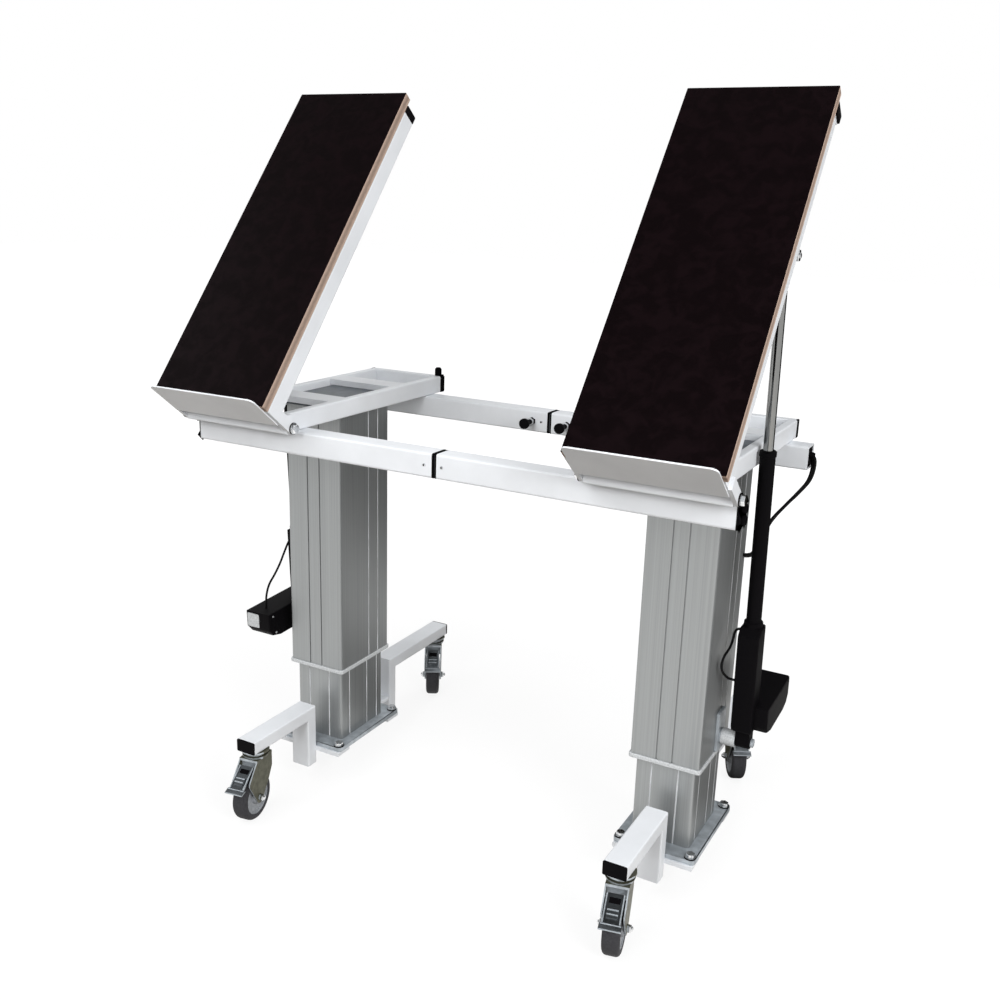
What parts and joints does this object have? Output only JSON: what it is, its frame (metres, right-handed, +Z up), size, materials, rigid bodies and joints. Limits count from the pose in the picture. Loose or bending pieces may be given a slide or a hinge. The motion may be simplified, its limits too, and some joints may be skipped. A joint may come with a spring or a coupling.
{
  "type": "tilt-top adjustable table",
  "caption": "Electric height-adjustable work table on castors: lifting columns joined by telescopic beams carry dark plywood boards that tilt up on linear actuators.",
  "frame": {"origin": "centre of the footprint on the floor", "axes": "+X to the right unit seen from the front, +Y to the rear, +Z up; the boards' lips face -Y"},
  "size_m": [1.25, 0.9174, 1.6041],
  "materials": {
    "white_coat": "smooth white powder coat on steel tube",
    "anodised": "silver anodised extrusion",
    "zinc": "zinc plated steel",
    "bar_zinc": "zinc plated square bar",
    "grey_plate": "grey plate",
    "pale_plastic": "pale moulded glide collar",
    "black_plastic": "moulded black plastic",
    "black_rubber": "black rubber",
    "tyre_grey": "grey rubber tread on a plastic hub",
    "chromed": "chromed actuator rod",
    "plywood": "birch plywood with dark phenolic film, raw sanded edge"
  },
  "bodies": {
    "left_base": {"left_foot_frame": "white_coat", "left_column_inner": "anodised", "left_column_base_plate": "zinc", "left_arm_cap_front": "black_plastic", "left_arm_cap_rear": "black_plastic"},
    "left_top": {"left_column_outer": "anodised", "left_column_collar": "pale_plastic", "left_column_top_plate": "grey_plate", "left_front_beam": "white_coat", "left_rear_beam": "white_coat", "left_top_frame": "white_coat", "left_actuator_bracket": "zinc", "left_rail_cap_inner": "black_rubber", "left_rail_cap_outer": "black_plastic", "front_connecting_bar": "bar_zinc", "rear_connecting_bar": "bar_zinc"},
    "left_board": {"left_board_frame": "white_coat", "left_board_panel": "plywood", "left_board_cap_inner": "black_plastic", "left_board_cap_outer": "black_plastic"},
    "left_actuator": {"left_actuator_housing": "black_plastic", "left_motor_cable": "black_rubber"},
    "left_rod": {"left_actuator_rod": "chromed"},
    "left_plunger_body": {"left_plunger": "black_plastic"},
    "right_base": {"right_foot_frame": "white_coat", "right_column_inner": "anodised", "right_column_base_plate": "zinc", "right_arm_cap_front": "black_plastic", "right_arm_cap_rear": "black_plastic"},
    "right_top": {"right_column_outer": "anodised", "right_column_collar": "pale_plastic", "right_column_top_plate": "grey_plate", "right_front_beam": "white_coat", "right_rear_beam": "white_coat", "right_top_frame": "white_coat", "right_actuator_bracket": "zinc", "right_rail_cap_inner": "black_rubber", "right_rail_cap_outer": "black_plastic", "right_beam_cable_upper": "black_rubber", "right_beam_cable_lower": "black_rubber"},
    "right_board": {"right_board_frame": "white_coat", "right_board_panel": "plywood", "right_board_cap_inner": "black_plastic", "right_board_cap_outer": "black_plastic"},
    "right_actuator": {"right_actuator_housing": "black_plastic", "right_motor_cable": "black_rubber"},
    "right_rod": {"right_actuator_rod": "chromed"},
    "right_plunger_body": {"right_plunger": "black_plastic"},
    "left_castor_front_fork_body": {"left_castor_front_fork": "zinc"},
    "left_castor_front_wheel_body": {"left_castor_front_wheel": "tyre_grey"},
    "left_castor_front_pedal_body": {"left_castor_front_brake_pedal": "zinc"},
    "left_castor_rear_fork_body": {"left_castor_rear_fork": "zinc"},
    "left_castor_rear_wheel_body": {"left_castor_rear_wheel": "tyre_grey"},
    "left_castor_rear_pedal_body": {"left_castor_rear_brake_pedal": "zinc"},
    "right_castor_front_fork_body": {"right_castor_front_fork": "zinc"},
    "right_castor_front_wheel_body": {"right_castor_front_wheel": "tyre_grey"},
    "right_castor_front_pedal_body": {"right_castor_front_brake_pedal": "zinc"},
    "right_castor_rear_fork_body": {"right_castor_rear_fork": "zinc"},
    "right_castor_rear_wheel_body": {"right_castor_rear_wheel": "tyre_grey"},
    "right_castor_rear_pedal_body": {"right_castor_rear_brake_pedal": "zinc"}
  },
  "joints": [
    {"name": "left_lift", "type": "slide", "parent": "left_base", "child": "left_top", "axis": [0, 0, 1], "range_m": [-0.16, 0.24]},
    {"name": "width_adjust", "type": "slide", "parent": "left_top", "child": "right_top", "axis": [1, 0, 0], "range_m": [0, 0.24]},
    {"name": "right_lift", "type": "slide", "parent": "right_top", "child": "right_base", "axis": [0, 0, -1], "range_m": [-0.16, 0.24]},
    {"name": "left_board_tilt", "type": "hinge", "parent": "left_top", "child": "left_board", "pos_m": [-0.445, -0.3444, 0.923], "axis": [1, 0, 0], "range_deg": [-51, 0]},
    {"name": "left_actuator_pivot", "type": "hinge", "parent": "left_top", "child": "left_actuator", "pos_m": [-0.575, -0.0104, 0.318], "axis": [1, 0, 0], "range_deg": [-15.75, 0]},
    {"name": "left_rod_stroke", "type": "slide", "parent": "left_actuator", "child": "left_rod", "axis": [0, -0.0575, 0.9983], "range_m": [-0.3445, 0]},
    {"name": "left_plunger_pull", "type": "slide", "parent": "left_top", "child": "left_plunger_body", "axis": [0, -1, 0], "range_m": [0, 0.008], "stiffness_N_per_m": 900, "springref_m": -0.004},
    {"name": "right_board_tilt", "type": "hinge", "parent": "right_top", "child": "right_board", "pos_m": [0.445, -0.3444, 0.923], "axis": [1, 0, 0], "range_deg": [-51, 0]},
    {"name": "right_actuator_pivot", "type": "hinge", "parent": "right_top", "child": "right_actuator", "pos_m": [0.575, -0.0104, 0.318], "axis": [1, 0, 0], "range_deg": [-15.75, 0]},
    {"name": "right_rod_stroke", "type": "slide", "parent": "right_actuator", "child": "right_rod", "axis": [0, -0.0575, 0.9983], "range_m": [-0.3445, 0]},
    {"name": "right_plunger_pull", "type": "slide", "parent": "right_top", "child": "right_plunger_body", "axis": [0, -1, 0], "range_m": [0, 0.008], "stiffness_N_per_m": 900, "springref_m": -0.004},
    {"name": "left_castor_front_swivel", "type": "hinge", "parent": "left_base", "child": "left_castor_front_fork_body", "pos_m": [-0.449, -0.3469, 0], "axis": [0, 0, 1], "continuous": true},
    {"name": "left_castor_front_roll", "type": "hinge", "parent": "left_castor_front_fork_body", "child": "left_castor_front_wheel_body", "pos_m": [-0.44594, -0.36869, 0.055], "axis": [0.9903, 0.1392, 0], "continuous": true},
    {"name": "left_castor_front_brake", "type": "hinge", "parent": "left_castor_front_fork_body", "child": "left_castor_front_pedal_body", "pos_m": [-0.44399, -0.38255, 0.1275], "axis": [0.9903, 0.1392, 0], "range_deg": [0, 12]},
    {"name": "left_castor_rear_swivel", "type": "hinge", "parent": "left_base", "child": "left_castor_rear_fork_body", "pos_m": [-0.449, 0.4206, 0], "axis": [0, 0, 1], "continuous": true},
    {"name": "left_castor_rear_roll", "type": "hinge", "parent": "left_castor_rear_fork_body", "child": "left_castor_rear_wheel_body", "pos_m": [-0.438, 0.40155, 0.055], "axis": [0.866, 0.5, 0], "continuous": true},
    {"name": "left_castor_rear_brake", "type": "hinge", "parent": "left_castor_rear_fork_body", "child": "left_castor_rear_pedal_body", "pos_m": [-0.431, 0.38942, 0.1275], "axis": [0.866, 0.5, 0], "range_deg": [0, 12]},
    {"name": "right_castor_front_swivel", "type": "hinge", "parent": "right_base", "child": "right_castor_front_fork_body", "pos_m": [0.449, -0.3469, 0], "axis": [0, 0, 1], "continuous": true},
    {"name": "right_castor_front_roll", "type": "hinge", "parent": "right_castor_front_fork_body", "child": "right_castor_front_wheel_body", "pos_m": [0.45357, -0.36842, 0.055], "axis": [0.9781, 0.2079, 0], "continuous": true},
    {"name": "right_castor_front_brake", "type": "hinge", "parent": "right_castor_front_fork_body", "child": "right_castor_front_pedal_body", "pos_m": [0.45648, -0.38211, 0.1275], "axis": [0.9781, 0.2079, 0], "range_deg": [0, 12]},
    {"name": "right_castor_rear_swivel", "type": "hinge", "parent": "right_base", "child": "right_castor_rear_fork_body", "pos_m": [0.449, 0.4206, 0], "axis": [0, 0, 1], "continuous": true},
    {"name": "right_castor_rear_roll", "type": "hinge", "parent": "right_castor_rear_fork_body", "child": "right_castor_rear_wheel_body", "pos_m": [0.45899, 0.401, 0.055], "axis": [0.891, 0.454, 0], "continuous": true},
    {"name": "right_castor_rear_brake", "type": "hinge", "parent": "right_castor_rear_fork_body", "child": "right_castor_rear_pedal_body", "pos_m": [0.46534, 0.38852, 0.1275], "axis": [0.891, 0.454, 0], "range_deg": [0, 12]}
  ],
  "couplings": [
    {"joint": "right_lift", "follows": "left_lift", "ratio": 1},
    {"joint": "left_actuator_pivot", "follows": "left_board_tilt", "ratio": 0.30868},
    {"joint": "left_rod_stroke", "follows": "left_board_tilt", "m_per_rad": 0.38691},
    {"joint": "right_actuator_pivot", "follows": "right_board_tilt", "ratio": 0.30868},
    {"joint": "right_rod_stroke", "follows": "right_board_tilt", "m_per_rad": 0.38691}
  ]
}
